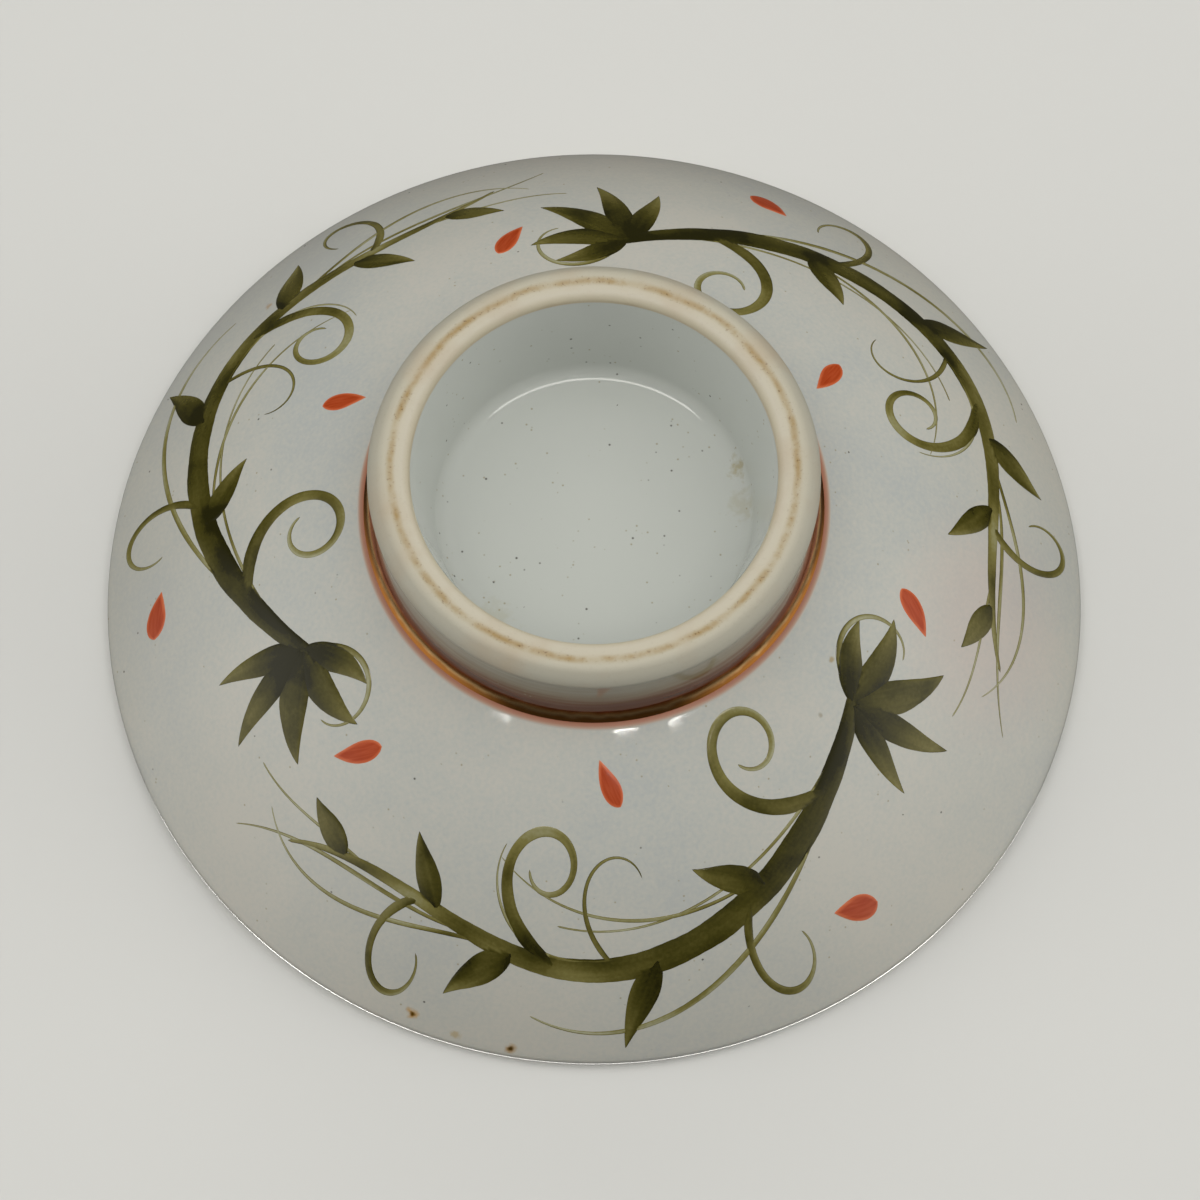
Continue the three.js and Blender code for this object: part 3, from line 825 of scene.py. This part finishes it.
# %% Iron red
red, red_shader, at = new_finish("iron_red_wash", roughness=0.35)
height, radius = from_axis(red, at)
wash = add_range(red, radius, (CREASE_RADIUS, CREASE_RADIUS + BAND_WIDTH))
salmon = add_ramp(red, wash.outputs[0],
                  [(0.0, "#84523c"), (0.4, "#9c6248"), (0.7, "#a87c66"), (0.9, "#b29c8c"),
                   (1.0, "#b6b2a9")])
feed(red, red_shader, Base_Color=salmon.outputs[0])
dress([red_band], red)

# %% Burnished gold
gold, gold_shader, at = new_finish("burnished_gold", roughness=0.2, metallic=1.0)
apart = add_node(gold, "ShaderNodeSeparateXYZ", {0: at})
down = add_range(gold, apart.outputs[2], (GILT_FROM, gilt_run[-1].y))
wear = add_noise(gold, at, 1 / 1.5, 4.0)
uneven = add_math(gold, "MULTIPLY_ADD", wear.outputs[0], 0.45, down.outputs[0])
# Painted shade at the upper edge, a painted highlight across the middle, and wear from the noise.
gold_shade_highlight_and_wear = add_ramp(gold, uneven.outputs[0],
                [(0.15, "#8a3c10"), (0.46, "#a4561e"), (0.6, "#dc9850"), (0.76, "#fccb8c"),
                 (1.0, "#c07e3a")])
lines = add_node(gold, "ShaderNodeBump", {"Height": wear.outputs[0], "Strength": 1.0,
                                          "Distance": 0.006 * MM})
feed(gold, gold_shader, Base_Color=gold_shade_highlight_and_wear.outputs[0], Normal=lines.outputs[0])
dress([gilt_line], gold)

# %% [markdown]
# ## Olive and coral enamel
# Overglaze enamel is a coloured glass. Where the brush left much of it, it is nearly black, and
# where it left little, the white shows through and it turns a pale grey green. It gathers in pools
# and in a thin dark line along each edge, and the hairs leave faint streaks. The load, the distance
# to the edge and the way along the stroke were kept on each point, so the colour follows the brush.

# %% Streaks of a brush
def hair_streaks(material, stretch):
    """A noise drawn out along each stroke; stretch is how often it changes a mm."""
    flow = add_node(material, "ShaderNodeAttribute", attribute_name="flow").outputs["Vector"]
    hairs = add_node(material, "ShaderNodeVectorMath", {0: flow, 1: stretch}, operation="MULTIPLY")
    return add_noise(material, hairs.outputs[0], 1.0, 2.0)


# %% Olive enamel
olive, olive_shader, at = new_finish("olive_overglaze_enamel", roughness=0.14)
load = add_node(olive, "ShaderNodeAttribute", attribute_name="load").outputs["Fac"]
edge = add_node(olive, "ShaderNodeAttribute", attribute_name="edge_mm").outputs["Fac"]
streak = hair_streaks(olive, (0.12, 3.0, 1.0))
mottle = add_noise(olive, at, 1 / 0.3, 3.0)
pools = add_noise(olive, at, 1 / 4.5, 2.0)
pooled = add_range(olive, pools.outputs[0], (0.46, 0.74), (0.0, 0.34),
                   interpolation_type="SMOOTHSTEP")
rim = add_range(olive, edge, (0.012, 0.08), (0.4, 0.0))
streaked = add_math(olive, "MULTIPLY_ADD", streak.outputs[0], 0.18, load)
mottled = add_math(olive, "MULTIPLY_ADD", mottle.outputs[0], 0.2, streaked.outputs[0])
pooling = add_math(olive, "MULTIPLY_ADD", pooled.outputs[0], load, mottled.outputs[0])
laid = add_math(olive, "ADD", pooling.outputs[0], rim.outputs[0])
depth = add_range(olive, laid.outputs[0], (0.24, 1.38))
green = add_ramp(olive, depth.outputs[0],
                 [(0.0, "#aaaa90"), (0.15, "#93916c"), (0.32, "#7a7441"), (0.5, "#5c5626"),
                  (0.66, "#423e10"), (0.84, "#232101")])
feed(olive, olive_shader, Base_Color=green.outputs[0])
dress(vines, olive)

# %% Coral enamel
coral, coral_shader, _ = new_finish("coral_overglaze_enamel", roughness=0.16)
edge = add_node(coral, "ShaderNodeAttribute", attribute_name="edge_mm").outputs["Fac"]
streak = hair_streaks(coral, (0.5, 5.0, 1.0))
inner = add_range(coral, edge, (0.0, 0.35), (0.0, 0.6))
laid = add_math(coral, "MULTIPLY_ADD", streak.outputs[0], 0.45, inner.outputs[0])
red_glass = add_ramp(coral, laid.outputs[0],
                     [(0.12, "#c8947c"), (0.34, "#c86e46"), (0.6, "#bc5730"), (0.9, "#a03a12")])
feed(coral, coral_shader, Base_Color=red_glass.outputs[0])
dress(list(buds.values()), coral)

# %% [markdown]
# ## The stage
# The camera looks at the cup from below, as the cup lies mouth down in the photograph, and other
# views look at it from above. So there are two plain pale sheets. One lies level with the mouth and
# is seen only from below, and one is a floor under the foot, seen only from above. The lamps shine
# through both. Only the camera sees them: a ray mirrored under the cup would meet the floor at
# once, so what the glaze and the gold mirror is the room.

# %% Floor and backdrop
SHEET_SIZE = 6.0
SHEET_COLOUR = "#cfd0ce"
FLOOR_GAP, BACKDROP_GAP = 0.2, 0.1  # millimetres from the cup


def one_sided(name):
    """A matt paper that only the camera sees, and only from its front."""
    material = bpy.data.materials.new(name)
    material.use_nodes = True
    tree = material.node_tree
    shader = tree.nodes["Principled BSDF"]
    shader.inputs["Base Color"].default_value = paint(SHEET_COLOUR)
    shader.inputs["Roughness"].default_value = 0.9
    path = add_node(material, "ShaderNodeLightPath")
    face = add_node(material, "ShaderNodeNewGeometry")
    front = add_math(material, "SUBTRACT", 1.0, face.outputs["Backfacing"])
    seen = add_math(material, "MULTIPLY", path.outputs["Is Camera Ray"], front.outputs[0])
    clear = add_node(material, "ShaderNodeBsdfTransparent")
    mix = add_node(material, "ShaderNodeMixShader", {0: seen.outputs[0], 1: clear.outputs[0],
                                                     2: shader.outputs[0]})
    tree.links.new(mix.outputs[0], tree.nodes["Material Output"].inputs["Surface"])
    return material


def stage_sheet(name, height, faces_up):
    bpy.ops.object.select_all(action="DESELECT")
    bpy.ops.mesh.primitive_plane_add(size=SHEET_SIZE, location=(0, 0, height * MM))
    sheet = bpy.context.object
    sheet.name = name
    if not faces_up:
        sheet.rotation_euler.x = math.pi
    sheet.data.materials.append(one_sided(name + "_paper"))
    print(name, "at", round(height, 1), "mm")


stage_sheet("floor", -FLOOR_GAP, faces_up=True)
stage_sheet("backdrop", CUP_HEIGHT + BACKDROP_GAP, faces_up=False)

# %% [markdown]
# ## The camera
# A long lens, 21 degrees off the cup's axis. Its distance and aim were worked out from the outlines
# of the mouth and the foot.

# %% Camera
LENS = 240.0
SENSOR = 36.0
ELEVATION = math.radians(68.97)
DISTANCE = 658.7
AIM_RIGHT, AIM_UP = 0.478, 0.263
camera_data = bpy.data.cameras.new("camera")
camera_data.lens = LENS
camera_data.sensor_width = SENSOR
camera_data.clip_end = 50
camera = bpy.data.objects.new("camera", camera_data)
bpy.context.collection.objects.link(camera)
look = Vector((0, math.cos(ELEVATION), math.sin(ELEVATION)))
up = Vector((0, math.sin(ELEVATION), -math.cos(ELEVATION)))
right = look.cross(up)
place = Vector((0, 0, CUP_HEIGHT)) - look * DISTANCE + right * AIM_RIGHT + up * AIM_UP
facing = Matrix((right, up, -look)).transposed().to_4x4()
camera.matrix_world = Matrix.Translation(place * MM) @ facing
scene = bpy.context.scene
scene.camera = camera
print("camera at", [round(value) for value in place], "mm")

# %% [markdown]
# ## The light
# The washes light the cup evenly from all sides, but are kept out of reflections, as a photographer
# does with a polarising sheet. The strips are the other way round: they give no light of their own,
# and are only seen mirrored in the glaze, where it bends tightly. The wide one below shows as an
# arc in the corner of the well, the narrow ones as sparks beside the crease, and the one above
# inside the cup.

# %% Washes and strips
WASH_SIZE = 0.8  # metres
LAMP_COLOUR = "#fffcf6"
# Name, tilt, bearing, power in watts.
WASHES_BELOW = [
    ("below_wash", 8, -90, 2.85), ("left_below", 36, 5, 2.1), ("right_below", 36, 175, 2.6),
    ("front_wash", 72, -90, 0.5), ("left_wash", 68, 0, 1.75), ("right_wash", 68, 180, 1.9),
    ("back_wash", 66, 90, 2.5),
]
# Tilt, bearing, width, depth, power.
STRIPS_BELOW = [
    (16, -90, 1.3, 0.2, 5.0), (43.6, -102, 0.1, 0.004, 0.12),
    (45.2, -125, 0.2, 0.004, 0.14), (45.4, -55, 0.1, 0.004, 0.05),
]


def lamp(name, tilt, around, width, depth, power, above=False, mirrored=False):
    """A lamp a metre away, tilted from straight below (or above) towards a bearing, in degrees."""
    away = Vector((math.sin(math.radians(tilt)) * math.cos(math.radians(around)),
                   math.sin(math.radians(tilt)) * math.sin(math.radians(around)),
                   math.cos(math.radians(tilt)) * (1 if above else -1)))
    data = bpy.data.lights.new(name, "AREA")
    data.shape = "RECTANGLE"
    data.size, data.size_y = width, depth
    data.energy = power
    data.color = paint(LAMP_COLOUR)[:3]
    box = bpy.data.objects.new(name, data)
    aim = Vector((0, 0, CUP_HEIGHT * MM / 2))
    box.location = aim + away
    box.rotation_euler = (-away).to_track_quat("-Z", "Y").to_euler()
    box.visible_glossy = mirrored
    box.visible_diffuse = not mirrored
    bpy.context.collection.objects.link(box)


for name, tilt, around, power in WASHES_BELOW:
    lamp(name, tilt, around, WASH_SIZE, WASH_SIZE, power)
lamp("above_wash", 20, 90, WASH_SIZE, WASH_SIZE, 11.0, above=True)
lamp("above_strip", 4, 90, 0.7, 0.3, 4.5, above=True, mirrored=True)
for tilt, around, width, depth, power in STRIPS_BELOW:
    lamp("strip", tilt, around, width, depth, power, mirrored=True)
print(len(WASHES_BELOW) + 1, "washes and", len(STRIPS_BELOW) + 1, "strips")

# %% [markdown]
# The room is the world's colour: pale underfoot and overhead, dark in front and behind, so that the
# upright walls of the foot and its well stay grey and the dark enamel stays dark. On the left and
# the right it has pale windows, because gold only looks like gold where it has something bright to
# mirror.

# %% The room
world = bpy.data.worlds.new("studio")
scene.world = world
world.use_nodes = True
room = world.node_tree.nodes["Background"]
toward = add_node(world, "ShaderNodeTexCoord").outputs["Generated"]
upright = add_node(world, "ShaderNodeSeparateXYZ", {0: toward})
height = add_range(world, upright.outputs[2], (-1.0, 1.0))
walls = add_ramp(world, height.outputs[0],
                 [(0.0, "#aaaaaa"), (0.11, "#989898"), (0.25, "#606060"), (0.4, "#444444"),
                  (0.62, "#3c3c3c"), (0.86, "#484848"), (0.95, "#707070")])
sideways = add_math(world, "ABSOLUTE", upright.outputs[0])
forward = add_range(world, upright.outputs[1], (0.0, 0.4), (1.0, 0.0))
to_window = add_range(world, sideways.outputs[0], (0.5, 0.85), (0.0, forward.outputs[0]))
sills = add_ramp(world, height.outputs[0],
                 [(0.2, "#000000"), (0.35, "#ffffff"), (0.62, "#ffffff"), (0.75, "#000000")])
window = add_math(world, "MULTIPLY", to_window.outputs[0], sills.outputs[0])
lit_room = add_mix(world, window.outputs[0], walls.outputs[0], paint("#dcdcdc"))
world.node_tree.links.new(lit_room.outputs[MIX_RESULT], room.inputs["Color"])
scene.view_settings.view_transform = "Standard"
print("the room has", len(world.node_tree.nodes), "nodes")
